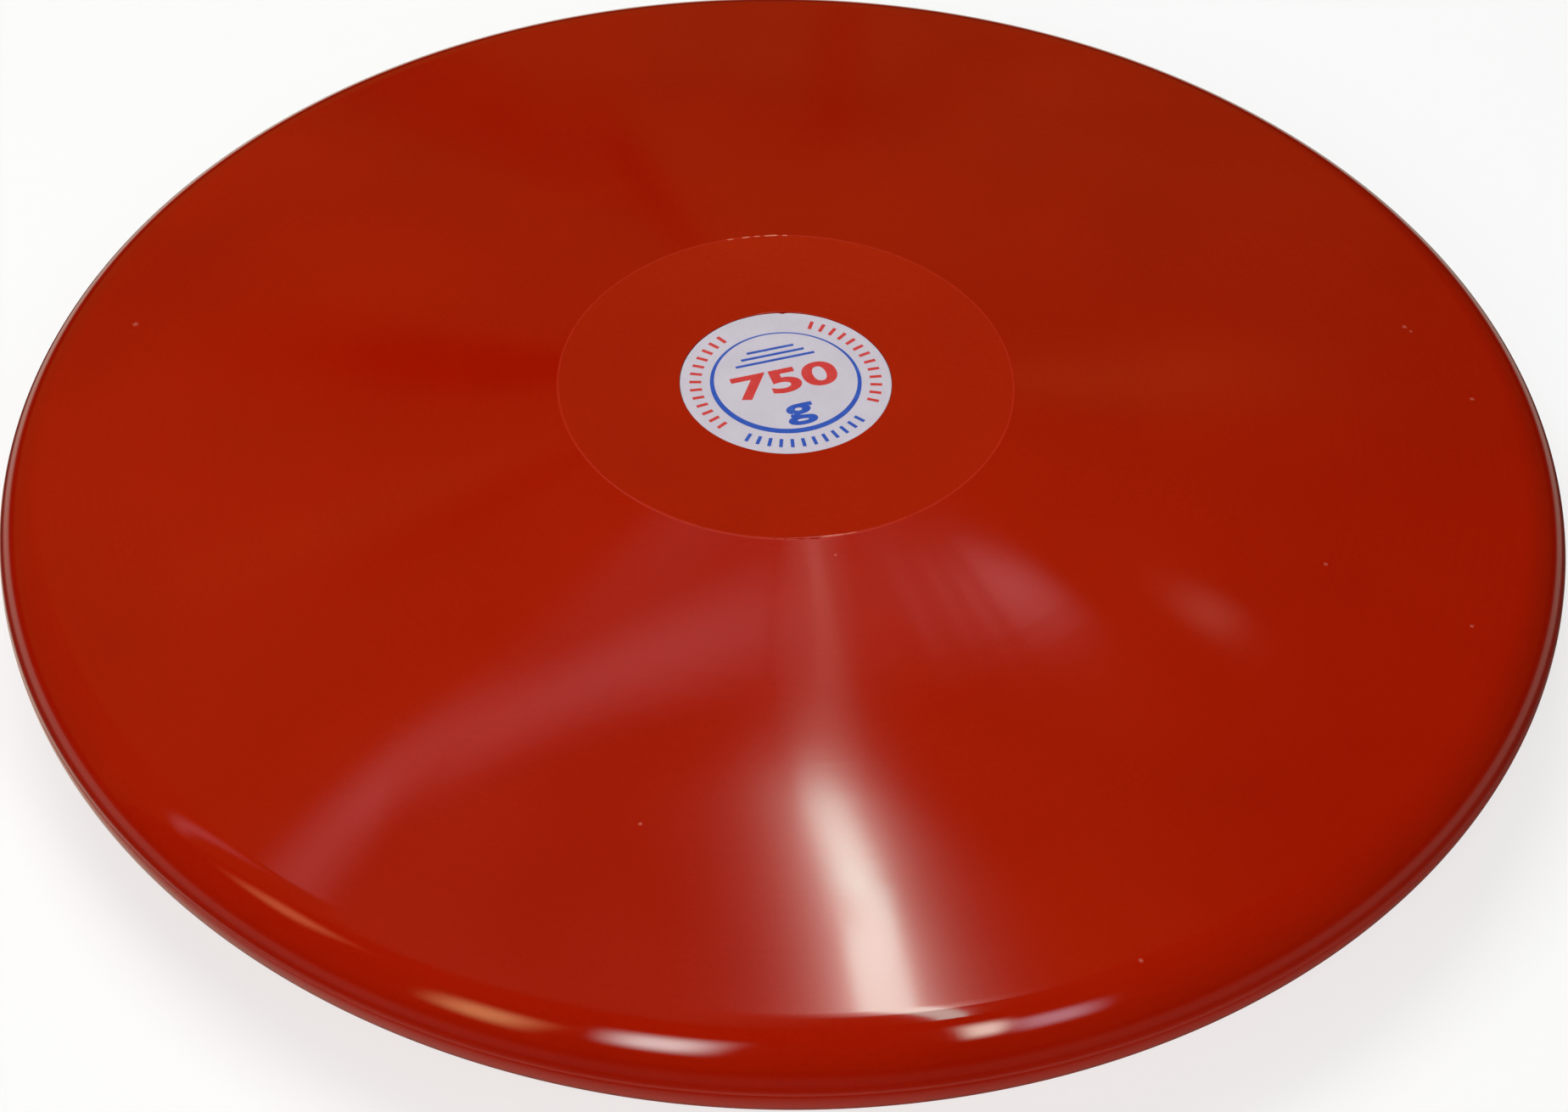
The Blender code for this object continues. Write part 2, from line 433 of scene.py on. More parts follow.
# %% [markdown]
# ## The bonded seam
#
# The joint between plate and shell is full of bonded vinyl, level with the faces on both sides. It is
# paler than the skin beside it, so it shows as a soft light circle about half a millimetre wide. It
# could be painted on by a mask in the vinyl, but it is rounded and takes its own thin highlight, so
# it is a ring of its own: an oval section, turned round the axis, that stands in the seam.

# %% Model the bonded seam
SEAM_HALF_WIDTH = 0.24
SEAM_HALF_HEIGHT = 0.11
SEAM_SINK = 0.006
SEAM_STEPS = 16
SEAM_RADIUS = (PLATE_RADIUS + SEAT_RADIUS) / 2


def bonded_seam(name, over):
    """An oval section (middle + a cos t, middle + b sin t) whose top is just below the plate's face."""
    middle = (SEAM_RADIUS, HALF_THICKNESS - SEAM_SINK - SEAM_HALF_HEIGHT)
    return turned(name, middle + on_circle(around(SEAM_STEPS)) * (SEAM_HALF_WIDTH, SEAM_HALF_HEIGHT), over)


seams = [join(bonded_seam(half + "_bonded_seam", over)) for half, over in HALVES]
print("bonded seams at", round(SEAM_RADIUS, 3), "mm")

# %% [markdown]
# ## Flecks at the plate's edge
#
# Along the front of the plate's edge the real discus shows a few crumbs and a thread of vinyl that
# the bonding pressed out. They are far smaller than a millimetre, but they sit where the main light
# falls. The pale ones, a few at the front and a row at the back, are crumbs whose pale colour partly
# paints the glints that light makes on them. Each is a small lump: a sphere stretched along the seam,
# with its height made uneven. A particle system could scatter them, but there are few and their
# places matter, so each is placed by its angle round the plate.

# %% Model the flecks
FLECK_ROWS = 7
FLECK_COLUMNS = 12
FLECK_UNEVENNESS = 0.18
FLECK_SINK = 0.02

# angle round the plate in degrees, distance outside its edge, length, width and height in mm
UPPER_FLECKS = (
    (268.1, 0.10, 0.55, 0.16, 0.07),
    (270.6, 0.12, 0.40, 0.14, 0.06),
    (274.4, 0.06, 0.95, 0.24, 0.13),
    (277.3, 0.08, 0.60, 0.26, 0.14),
    (278.4, 0.10, 0.45, 0.30, 0.15),
    (302.0, 0.03, 0.50, 0.10, 0.05),
)
# pale crumbs, whose pale colour partly paints the glints of light on them
PALE_GLINT_FLECKS = (
    (281.0, 0.02, 1.50, 0.12, 0.07),
    (283.8, 0.02, 1.40, 0.11, 0.06),
    (286.8, 0.03, 1.50, 0.10, 0.06),
    (91.0, 0.02, 0.70, 0.20, 0.08),
    (94.6, 0.02, 1.80, 0.22, 0.08),
    (98.3, 0.02, 0.80, 0.20, 0.08),
    (101.2, 0.02, 1.10, 0.24, 0.08),
    (105.4, 0.02, 0.90, 0.20, 0.07),
)
LOWER_FLECKS = (
    (41.0, 0.05, 0.80, 0.20, 0.10),
    (47.5, 0.03, 1.40, 0.10, 0.05),
    (126.0, 0.08, 0.50, 0.22, 0.11),
    (212.0, 0.02, 1.10, 0.09, 0.06),
    (334.0, 0.06, 0.45, 0.16, 0.08),
)


def fleck_points(fleck, number):
    """A lump on the seam. Its own ball, from pole angle a and turn b, is stretched to a length along
    the seam, a width across it and a height above it, and each point is pushed in or out a little."""
    angle, outside, length, width, height = fleck
    a, b = np.meshgrid(np.linspace(0, np.pi, FLECK_ROWS), around(FLECK_COLUMNS), indexing="ij")
    draw = np.random.default_rng(100 + number)
    lump = 1 + FLECK_UNEVENNESS * draw.standard_normal(a.shape)
    lump[0] = lump[-1] = 1
    along = length / 2 * np.cos(a)
    across = width / 2 * np.sin(a) * np.cos(b) * lump
    above = height * np.sin(a) * np.sin(b) * lump
    radius = PLATE_RADIUS + outside + across
    turn_by = math.radians(angle) + along / PLATE_RADIUS
    base = np.minimum(HALF_THICKNESS, side_height(radius)) - FLECK_SINK
    return carried_round(radius, turn_by, np.minimum(base + above, HALF_THICKNESS))


def flecks(name, places, over=False):
    """All the lumps of one side as one mesh. A ball's end rows are one point each."""
    points, faces = [], []
    for number, place in enumerate(places):
        grid = fleck_points(place, number)
        rows = grid[1:-1].reshape(-1, 3)
        start = number * (len(rows) + 2)
        first, last = start + len(rows), start + len(rows) + 1
        points.append(np.vstack([rows, grid[0, 0], grid[-1, 0]]))
        faces.append(grid_faces(FLECK_ROWS - 2, FLECK_COLUMNS)[:, ::-1] + start)
        faces.append(fan_faces(first, start, FLECK_COLUMNS, False))
        faces.append(fan_faces(last, first - FLECK_COLUMNS, FLECK_COLUMNS, True))
    return mesh_object(name, np.vstack(points), faces, over)


upper_flecks = join(flecks("upper_seam_flecks", UPPER_FLECKS))
glint_flecks = join(flecks("upper_pale_glint_flecks", PALE_GLINT_FLECKS))
lower_flecks = join(flecks("lower_seam_flecks", LOWER_FLECKS, over=True))

# %% [markdown]
# ## The labels
#
# The label is a round white film, printed in red and blue: a blue ring, a number in red with its unit
# in blue, and small marks between the ring and the edge. The film is a thin turned disc whose edge
# has one small nick. The ink is geometry too, thin islands a hundredth of a millimetre above the
# film, because a drawing made of meshes stays sharp at any distance and survives an export.
#
# Everything printed here is generic: the discus's weight in grams, a ring, bars and tick marks.

# %% Model the label film
NICK_ANGLE = math.radians(92.7)
NICK_DEPTH = 0.16
NICK_WIDTH = math.radians(1.5)
FILM_STEPS = 16
FILM_BACK_STEPS = 10
FILM_BACK_ROUNDING = 0.05
FILM_FACE_ROUNDING = 0.07
FILM_HOLD = 0.1


def label_film(name, over):
    """A thin disc with rounded edges. Its radius is less by NICK_DEPTH exp(-(angle/width)^2) about
    the nick's angle."""
    middle_back, edge_back = (0, LABEL_BACK), (LABEL_RADIUS, LABEL_BACK)
    middle_face, edge_face = (0, LABEL_FACE), (LABEL_RADIUS, LABEL_FACE)
    film = turned(name, np.vstack([
        run(middle_back, edge_back, FILM_BACK_STEPS)[:-1],
        corner(middle_back, edge_back, edge_face, FILM_BACK_ROUNDING, 3),
        corner(edge_back, edge_face, middle_face, FILM_FACE_ROUNDING),
        run(edge_face, middle_face, FILM_STEPS, FILM_HOLD)[1:],
    ]), over)
    points = np.zeros(len(film.data.vertices) * 3)
    film.data.vertices.foreach_get("co", points)
    points = points.reshape(-1, 3)
    up = -1 if over else 1
    angle = np.arctan2(points[:, 1] * up, points[:, 0])
    away = (angle - NICK_ANGLE + np.pi) % (2 * np.pi) - np.pi
    share = np.hypot(points[:, 0], points[:, 1]) / (LABEL_RADIUS * MM)
    bite = NICK_DEPTH / LABEL_RADIUS * np.exp(-(away / NICK_WIDTH) ** 2) * share ** 8
    points[:, :2] *= (1 - bite)[:, None]
    film.data.vertices.foreach_set("co", points.ravel())
    film.data.update()
    return film


films = [
    join(label_film(half + "_label_film", over), half + "_label") for half, over in HALVES
]

# %% [markdown]
# The print is laid out flat, about the label's middle, in millimetres with x to the right. The ring
# and the marks are slabs: an outline on the film and the same outline above it. The number is a text
# object, whose outline is thickened for a bolder face. It becomes a mesh first, and only then is it
# put in its place, turned with the rest of the label.

# %% Tools for the print
INK_RISE = 0.012
INK_SINK = 0.01
INK_HEIGHTS = (LABEL_FACE - INK_SINK, LABEL_FACE + INK_RISE)
PRINT_TURN = math.radians(18.6)
RING_STEPS = 160


def ring(name, inner, outer):
    """A flat ring. Its section is a rectangle between two radii, which may be one value for each
    step, from below the film's face to INK_RISE above it."""
    low, high = INK_HEIGHTS
    rows = ((outer, low), (outer, high), (inner, high), (inner, low))
    points = [carried_round(radius, around(RING_STEPS), height) for radius, height in rows]
    return mesh_object(name, points, [closed_faces(len(rows), RING_STEPS)])


def bar_points(centre, angle, length, width):
    """The eight corners of a flat bar that lies at an angle."""
    half = np.array([(-length, -width), (length, -width), (length, width), (-length, width)]) / 2
    spin = np.array([(math.cos(angle), math.sin(angle)), (-math.sin(angle), math.cos(angle))])
    flat = half @ spin + centre
    return np.vstack([np.column_stack([flat, np.full(4, height)]) for height in INK_HEIGHTS])


BAR_FACES = np.array([(3, 2, 1, 0), (4, 5, 6, 7), (0, 1, 5, 4), (1, 2, 6, 5), (2, 3, 7, 6), (3, 0, 4, 7)])


def bars(name, places):
    """One mesh of flat bars, each given as (centre, angle, length, width)."""
    points = [bar_points(*place) for place in places]
    faces = [BAR_FACES + 8 * number for number in range(len(points))]
    return mesh_object(name, np.vstack(points), faces)


def lay_on_label(piece, over):
    """Turn a printed piece with the label, and over about X for the lower side, in its mesh."""
    placing = Matrix.Rotation(PRINT_TURN, 4, "Z")
    if over:
        placing = Matrix.Rotation(math.pi, 4, "X") @ placing
    piece.data.transform(placing)
    piece.data.update()
    return piece


# %% Model the print
RING_OUTER = 8.6
RING_STROKE = 0.46
RING_SHIFT = 0.28
# the text, its size, how much bolder it gets, its middle, and how much wider it gets
NUMBER = ("750", 5.4, 0.15, (0, 0.1), 1.52)
UNIT = ("g", 4.8, 0.14, (0, -4.7), 1.5)
# the first and the last angle of each row of marks in degrees, and how many there are
RED_MARKS = ((118, 208, 13), (-34, 56, 13))
BLUE_MARKS = ((228, 306, 12),)
MARK_RADIUS = 10.25
MARK_LENGTH = 1.35
MARK_WIDTH = 0.42
STRIPES = 3
STRIPE_TOP = 5.9
STRIPE_SPACING = 0.95
STRIPE_LENGTH = 5.6
STRIPE_GROWTH = 1.9
STRIPE_WIDTH = 0.36


def letters(name, body, size, bold, centre, wide):
    """Text as a mesh: centred on a point, widened, and as thick as the rest of the ink."""
    curve = bpy.data.curves.new(name, "FONT")
    curve.body = body
    curve.size = size * MM
    curve.offset = bold * MM
    curve.extrude = (INK_RISE + INK_SINK) / 2 * MM
    curve.align_x = "CENTER"
    curve.align_y = "CENTER"
    curve.resolution_u = 6
    writer = link(name, curve)
    bpy.context.view_layer.update()
    mesh = bpy.data.meshes.new_from_object(writer.evaluated_get(bpy.context.evaluated_depsgraph_get()))
    bpy.data.objects.remove(writer)
    bpy.data.curves.remove(curve)
    mesh.name = name
    middle = LABEL_FACE + (INK_RISE - INK_SINK) / 2
    place = Matrix.Translation(Vector((*centre, middle)) * MM) @ Matrix.Diagonal((wide, 1, 1, 1))
    mesh.transform(place)
    mesh.shade_flat()
    return link(name, mesh)


def round_marks(rows):
    """Short bars that point to the middle."""
    angles = np.radians(np.concatenate([np.linspace(*row) for row in rows]))
    return [(on_circle([a])[0] * MARK_RADIUS, a, MARK_LENGTH, MARK_WIDTH) for a in angles]


def print_side(side, over):
    """All the print of one label, as a list of (piece, ink) pairs. The ring's stroke is narrower
    towards the top, and the stripes grow longer downwards."""
    towards_top = np.sin(around(RING_STEPS) + PRINT_TURN)
    inner = RING_OUTER - RING_STROKE + RING_SHIFT * towards_top
    stripes = [
        ((0, STRIPE_TOP - STRIPE_SPACING * row), 0.0, STRIPE_LENGTH + STRIPE_GROWTH * row, STRIPE_WIDTH)
        for row in range(STRIPES)
    ]
    made = [
        (ring(side + "_label_ring", inner, RING_OUTER), "blue"),
        (bars(side + "_label_stripes", stripes), "blue"),
        (letters(side + "_label_number", *NUMBER), "red"),
        (letters(side + "_label_unit", *UNIT), "blue"),
        (bars(side + "_label_marks_red", round_marks(RED_MARKS)), "red"),
        (bars(side + "_label_marks_blue", round_marks(BLUE_MARKS)), "blue"),
    ]
    for piece, _ in made:
        join(lay_on_label(piece, over))
    return made


printed = [pair for half, over in HALVES for pair in print_side(half, over)]
print(len(printed), "printed pieces")

# %% [markdown]
# ## Shader maths
#
# A material is a formula, and node trees hide formulas well. The small class below wraps one socket.
# Adding, multiplying or subtracting wrapped sockets adds the Math nodes, so `1 - mask * 0.3` reads as
# it would on paper. Every other node comes from one method that takes its type, settings and inputs.
# Positions are in millimetres, so that a texture's scale is "so many per mm".

# %% A socket that does sums
class Wire:
    """A node tree's socket. Arithmetic on it adds Math nodes and gives the wire of the result."""

    def __init__(self, tree, socket=None):
        self.tree = tree
        self.socket = socket

    def plug(self, socket, value):
        """Link a wire to a socket, or set the socket to a number or to a colour of three numbers."""
        if isinstance(value, Wire):
            self.tree.links.new(value.socket, socket)
        else:
            socket.default_value = (*value, 1) if isinstance(value, tuple) else value

    def node(self, kind, settings=None, inputs=None, output=0):
        """Add a node. Its settings are set first, then its sockets get their values or wires."""
        node = self.tree.nodes.new(kind)
        for key, value in (settings or {}).items():
            setattr(node, key, value)
        for key, value in (inputs or {}).items():
            self.plug(node.inputs[key], value)
        return Wire(self.tree, node.outputs[output])

    def math(self, operation, *values):
        return self.node("ShaderNodeMath", {"operation": operation}, dict(enumerate(values)))

    def __add__(self, other):
        return self.math("ADD", self, other)

    def __radd__(self, other):
        return self.math("ADD", other, self)

    def __sub__(self, other):
        return self.math("SUBTRACT", self, other)

    def __rsub__(self, other):
        return self.math("SUBTRACT", other, self)

    def __mul__(self, other):
        return self.math("MULTIPLY", self, other)

    def __rmul__(self, other):
        return self.math("MULTIPLY", other, self)

    def __truediv__(self, other):
        return self.math("DIVIDE", self, other)

    def __pow__(self, other):
        return self.math("POWER", self, other)

    def __abs__(self):
        return self.math("ABSOLUTE", self)

    def exp(self):
        return self.math("EXPONENT", self)

    def at_least(self, other):
        return self.math("MAXIMUM", self, other)

    def at_most(self, other):
        return self.math("MINIMUM", self, other)

    def step(self, start, end):
        """A mask that rises smoothly from 0 at one value to 1 at another."""
        settings = {"interpolation_type": "SMOOTHSTEP"}
        if start < end:
            return self.node("ShaderNodeMapRange", settings, {0: self, 1: start, 2: end})
        return 1 - self.node("ShaderNodeMapRange", settings, {0: self, 1: end, 2: start})

    def blend(self, low, high):
        """A colour from low to high, with this wire as the share of high."""
        return self.node("ShaderNodeMix", {"data_type": "RGBA"}, {0: self, 6: low, 7: high}, 2)

    def parts(self):
        """The three components of a vector."""
        split = self.node("ShaderNodeSeparateXYZ", inputs={0: self}).socket.node
        return [Wire(self.tree, socket) for socket in split.outputs]

    def noise(self, per_mm, detail=2.0, roughness=0.5, along=False):
        """Noise from 0 to 1 over a position in millimetres, or along one length."""
        settings = {"noise_dimensions": "1D" if along else "3D"}
        inputs = {"W" if along else "Vector": self, "Scale": per_mm, "Detail": detail, "Roughness": roughness}
        return self.node("ShaderNodeTexNoise", settings, inputs)

    def bump(self, strength):
        """The normal of a surface whose height in millimetres is this wire."""
        inputs = {"Strength": strength, "Distance": MM, "Height": self}
        return self.node("ShaderNodeBump", inputs=inputs)

    def rays(self, kind):
        """1 for rays of a kind, such as Camera, and 0 for all others."""
        return self.node("ShaderNodeLightPath", output=f"Is {kind} Ray")


def start_material(name):
    """A new material, and the position on a piece in millimetres."""
    material = bpy.data.materials.new(name)
    material.use_nodes = True
    start = Wire(material.node_tree)
    place = start.node("ShaderNodeTexCoord", output="Object")
    return material, start.node("ShaderNodeVectorMath", {"operation": "SCALE"}, {0: place, "Scale": 1 / MM})


def shade(material, looks):
    """Give the material's shader its values and wires, by the names of its sockets."""
    shader = material.node_tree.nodes["Principled BSDF"]
    for key, value in looks.items():
        Wire(material.node_tree).plug(shader.inputs[key], value)
    return material


def distance(x, y):
    """How far a point is from the axis."""
    return (x * x + y * y) ** 0.5


def along_section(x, y, z):
    """Radius less height: a length that grows from the middle, down the side and round the rim."""
    return distance(x, y) - abs(z)


def wear(material, *pieces):
    """Give each piece this material and no other."""
    for piece in pieces:
        piece.data.materials.clear()
        piece.data.materials.append(material)


# %% [markdown]
# ## The vinyl
#
# Soft vinyl is a deep orange red with a clear gloss. Three things keep it from looking like a plain
# gloss shader. The mould was turned on a lathe, and its tool marks, a fraction of a millimetre
# apart, spread each highlight along the radius. They are a bump made from noise along the section's
# length, broken up round the circle. The pigment is not quite even, which is a slow and a fine
# mottle. And the skin has a few pale specks and scuffs.
#
# One formula serves the shells, the plates, the bead, the seams and the flecks. The length along the
# section is the radius less the height's distance from the equator.

# %% Make the vinyl
PEEL_HEIGHT = 0.0003
SPECK_CELLS_PER_MM = 0.14
DUST_COLOUR = (0.62, 0.16, 0.12)

# x, y and radius of each scuff in mm
SCUFFS = (
    (-76.6, 18.6, 0.45), (72.9, 22.1, 0.40), (73.6, 21.4, 0.25), (79.9, 10.4, 0.35),
    (60.3, -21.0, 0.30), (76.3, -27.2, 0.30), (37.7, -76.4, 0.30), (-14.3, -62.2, 0.28), (5.8, -27.75, 0.22),
)


def vinyl(name, deep, pale, roughness, line_height, ior=1.5):
    """Glossy vinyl. Its colour goes from deep to pale with the mottle, and its lathe marks are
    line_height millimetres high."""
    material, position = start_material(name)
    x, y, z = position.parts()
    along = along_section(x, y, z)

    # marks of the turning tool: fine ones, and broader ones about two millimetres apart
    fine = along.noise(1.3, along=True)
    broad = along.noise(0.45, 1.0, along=True)
    breaks = position.noise(0.09, 3.0, 0.6).step(0.30, 0.70)
    lines = (fine * 0.2 + broad) * (0.55 + breaks * 0.45)
    peel = position.noise(0.7, 2.0)
    height = lines * line_height + peel * PEEL_HEIGHT

    # pigment: slow drifts of a few centimetres and a fine mottle of a third of a millimetre
    slow = position.noise(0.035, 2.0)
    mottle = position.noise(2.2, 2.0, 0.7)
    share = slow * 0.55 + mottle * 0.45 + (fine - 0.5) * 0.12
    colour = share.step(0.25, 0.75).blend(deep, pale)

    # specks of dust in the skin, and the scuffs where they are seen
    inputs = {"Vector": position, "Scale": SPECK_CELLS_PER_MM}
    cells = position.node("ShaderNodeTexVoronoi", inputs=inputs, output="Distance")
    pick = position.node("ShaderNodeTexVoronoi", inputs=inputs, output="Color").parts()[0]
    marks = cells.step(0.022, 0.010) * pick.step(0.86, 0.88) * 0.5
    ragged = position.noise(3.0, 2.0, 0.7)
    for scuff_x, scuff_y, size in SCUFFS:
        away = distance(x - scuff_x, y - scuff_y) + (ragged - 0.5) * 1.2 * size
        marks = marks + away.step(size, size * 0.3) * z.step(0.0, 1.0) * 0.45
    marks = marks.at_most(1.0)

    return shade(material, {
        "Base Color": marks.blend(colour, DUST_COLOUR),
        "Roughness": roughness + (slow - 0.5) * 0.05 + (mottle - 0.5) * 0.04 + marks * 0.35,
        "Normal": height.bump(1.0),
        "IOR": ior,
    })


# name, deep and pale colour, roughness, height of the lathe marks, index of refraction
shell_vinyl = vinyl("glossy_red_vinyl", (0.325, 0.0062, 0.0002), (0.375, 0.0092, 0.0005), 0.060, 0.00095)
plate_vinyl = vinyl("plate_red_vinyl", (0.330, 0.0085, 0.0008), (0.385, 0.0120, 0.0012), 0.11, 0.00030)
seam_vinyl = vinyl("pale_seam_vinyl", (0.380, 0.0130, 0.0020), (0.430, 0.0170, 0.0040), 0.34, 0.0002, 1.33)
# pale crumbs: a paler vinyl, and partly a painted highlight that makes them read as glints
glint_fleck_vinyl = vinyl("pale_fleck_glint_vinyl", (0.560, 0.120, 0.080), (0.680, 0.200, 0.140), 0.30, 0.0002)

wear(shell_vinyl, *shells, upper_flecks, lower_flecks)
wear(plate_vinyl, *plates)
wear(seam_vinyl, *seams, bead)
wear(glint_fleck_vinyl, glint_flecks)
print("vinyl nodes:", len(shell_vinyl.node_tree.nodes))

# %% [markdown]
# ## The label's film and inks
#
# The film is a white plastic with a faint lavender cast, less glossy than the vinyl, and very
# slightly uneven, as a film pressed on by hand is. The inks were printed on a coarse press: their
# colour is thin in places, so a little of the white comes through as fine grain.

# %% Make the film and inks
def film_finish(name):
    """White film: a fine grain in its colour, and a shallow unevenness in its face."""
    material, position = start_material(name)
    grain = position.noise(5.0, 2.0, 0.6)
    drift = position.noise(0.25, 2.0)
    share = (grain * 0.5 + drift * 0.5).step(0.2, 0.8)
    return shade(material, {
        "Base Color": share.blend((0.555, 0.505, 0.590), (0.620, 0.570, 0.655)),
        "Roughness": 0.36 + (drift - 0.5) * 0.08,
        "Normal": (drift * 0.02 + grain * 0.0006).bump(0.6),
        "IOR": 1.47,
    })


def ink_finish(name, full, thin):
    """Printing ink: the full colour, with grains where the film shows through."""
    material, position = start_material(name)
    grain = position.noise(4.5, 3.0, 0.7)
    patch = position.noise(0.8, 2.0)
    cover = (grain * 0.7 + patch * 0.3).step(0.42, 0.72)
    return shade(material, {
        "Base Color": cover.blend(full, thin),
        "Roughness": 0.42 + grain * 0.1,
        "Normal": (grain * 0.002).bump(0.5),
    })


inks = {
    "red": ink_finish("red_ink", (0.58, 0.032, 0.028), (0.64, 0.075, 0.075)),
    "blue": ink_finish("blue_ink", (0.018, 0.070, 0.43), (0.045, 0.125, 0.50)),
}
wear(film_finish("white_label_film"), *films)
for piece, ink in printed:
    wear(inks[ink], piece)
print("inks:", ", ".join(inks))

# %% [markdown]
# ## What is inside
#
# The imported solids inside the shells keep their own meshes. Nobody sees them until the discus is
# taken apart, but then they should look like what they are: pads of reground vinyl in which chips of
# other colours show, a ring of drawn steel rod, and a turned steel weight. Steel takes its look from
# the direction in which it was worked, so the rod's scratches run along it and the weight's run round.

# %% Make the core filling and the steels
STAIN_DARKNESS = 0.72


def filling_finish(name):
    """Pressed chips. Each chip is a Voronoi cell whose colour number picks its shade, and the joints
    between chips are darker and lower."""
    material, position = start_material(name)
    inputs = {"Vector": position, "Scale": 0.42, "Randomness": 1.0}
    chip = position.node("ShaderNodeTexVoronoi", inputs=inputs, output="Color").parts()
    joint = position.node("ShaderNodeTexVoronoi", {"feature": "DISTANCE_TO_EDGE"}, inputs)
    body = joint.step(0.0, 0.09)
    grain = position.noise(1.6, 4.0, 0.65)
    tone = chip[0].blend((0.10, 0.09, 0.085), (0.24, 0.22, 0.20))
    tone = chip[1].step(0.82, 0.84).blend(tone, (0.30, 0.035, 0.02))
    tone = chip[2].step(0.92, 0.94).blend(tone, (0.08, 0.12, 0.22))
    return shade(material, {
        "Base Color": (1 - body).blend(tone, (0.045, 0.04, 0.038)),
        "Roughness": 0.72 + grain * 0.2,
        "Normal": (body * 0.12 + grain * 0.15).bump(0.8),
    })


def steel_finish(name, scratches_of, colour, rust):
    """Worked steel. Scratches are noise along the direction across the tool's path, and rust blooms
    where slow noise is high."""
    material, position = start_material(name)
    scratch = scratches_of(*position.parts()).noise(7.0, 4.0, 0.7, along=True)
    bloom = position.noise(0.12, 5.0, 0.65)
    spots = bloom.step(0.60, 0.74) * rust
    stain = (bloom * 0.5 + scratch * 0.5).step(0.3, 0.8)
    clean = stain.blend(colour, tuple(STAIN_DARKNESS * c for c in colour))
    return shade(material, {
        "Base Color": spots.blend(clean, (0.19, 0.075, 0.03)),
        "Metallic": 1 - spots,
        "Roughness": 0.30 + scratch * 0.22 + spots * 0.4,
        "Normal": (scratch * 0.006).bump(0.7),
        "IOR": 2.5,
    })


def across_rod(x, y, z):
    """Angle about the rod's own centre line, as a length in millimetres round the rod."""
    return z.math("ARCTAN2", z, distance(x, y) - RIM_CENTRE) * ROD_TOP


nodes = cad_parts
wear(filling_finish("pressed_chips"), nodes["upper_core"], nodes["lower_core"])
wear(steel_finish("drawn_steel", across_rod, (0.46, 0.45, 0.44), 0.7), nodes["ballast_ring"])
wear(steel_finish("turned_steel", along_section, (0.50, 0.49, 0.47), 0.45), nodes["centre_weight"])
print("materials so far:", len(bpy.data.materials))

# %% [markdown]
# ## The floor and the room
#
# The discus lies on its lower plate on a sheet of white card. For the camera a share of plain white
# is mixed in, because a lens sees the card as near white, and what is left of the card's own colour
# keeps the shadow. Rays from below pass it, so that the underside can be looked at as well.
#
# Vinyl mirrors only about a twentieth of what stands round it, but on a deep red even that shows, and
# the rim mirrors the floor all the way round. The real floor was not one even white there: close to
# the rim it lay in the discus's own shade, a hand's breadth out it was brightest, most of all behind,
# and past the card the table was dark. For mirrored rays the floor glows with just that pattern.

# %% Lay the floor
FLOOR_RADIUS = 0.24
FLOOR_CORNERS = 96
FLOOR_WHITE = 0.96
FLOOR_GRAIN = 0.02
FLOOR_SEEN_WHITE = 0.72
# share of plain white that the card glows for diffuse rays: painted bounce light on the discus
FLOOR_BOUNCE_GLOW = 0.5


def mirrored_floor(position):
    """How bright the floor looks in the rim, from its radius and its direction (c, s) from the
    middle. Two zones, one under the rim and one a hand's breadth out, with a dark ring between."""
    x, y, _ = position.parts()
    radius = distance(x, y)
    c = x / radius
    s = y / radius
    under_rim = radius.step(78, 94) * radius.step(106, 97)
    further_out = radius.step(112, 128) * radius.step(195, 145)
    close = under_rim * (0.2 - c * 0.15 + c.at_most(0.0) ** 4 * 0.45)
    return 0.03 + close + further_out * (0.07 + (0.35 - c * 0.1) * (s + 1))


def lay_floor():
    """A round white sheet, flat at the height of the lower plate's face."""
    edge = on_circle(around(FLOOR_CORNERS)) * FLOOR_RADIUS / MM
    points = np.column_stack([edge, np.full(FLOOR_CORNERS, -HALF_THICKNESS)])
    floor = mesh_object("floor", points, [np.arange(FLOOR_CORNERS)[None]])
    return floor


def card_finish(name):
    """White card, with a glow for mirrored rays and a share of plain white for diffuse rays, a painted
    bounce glow that lights the discus, and see-through from below and for shadows.
    """
    material, position = start_material(name)
    tint = position.noise(0.8, 3.0).blend((FLOOR_WHITE,) * 3, (FLOOR_WHITE - FLOOR_GRAIN,) * 3)
    shade(material, {"Roughness": 0.9, "Specular IOR Level": 0.1, "Base Color": tint})
    tree = material.node_tree

    def mix(share, first, second):
        return share.node("ShaderNodeMixShader", inputs={0: share, 1: first, 2: second})

    white = position.node("ShaderNodeEmission", inputs={"Strength": 1.0})
    glow = {"Color": (1.0, 0.92, 0.74), "Strength": mirrored_floor(position)}
    # for diffuse rays the card glows a share of plain white: painted bounce light on the discus
    share = position.rays("Camera") * FLOOR_SEEN_WHITE + position.rays("Diffuse") * FLOOR_BOUNCE_GLOW
    card = mix(share, Wire(tree, tree.nodes["Principled BSDF"].outputs["BSDF"]), white)
    card = mix(position.rays("Glossy"), card, position.node("ShaderNodeEmission", inputs=glow))
    left_out = position.node("ShaderNodeNewGeometry", output="Backfacing").at_least(position.rays("Shadow"))
    card = mix(left_out, card, position.node("ShaderNodeBsdfTransparent"))
    card.plug(tree.nodes["Material Output"].inputs["Surface"], card)
    material.cycles.emission_sampling = "NONE"
    return material


wear(card_finish("white_card"), lay_floor())
print("floor", 2 * FLOOR_RADIUS, "m across")

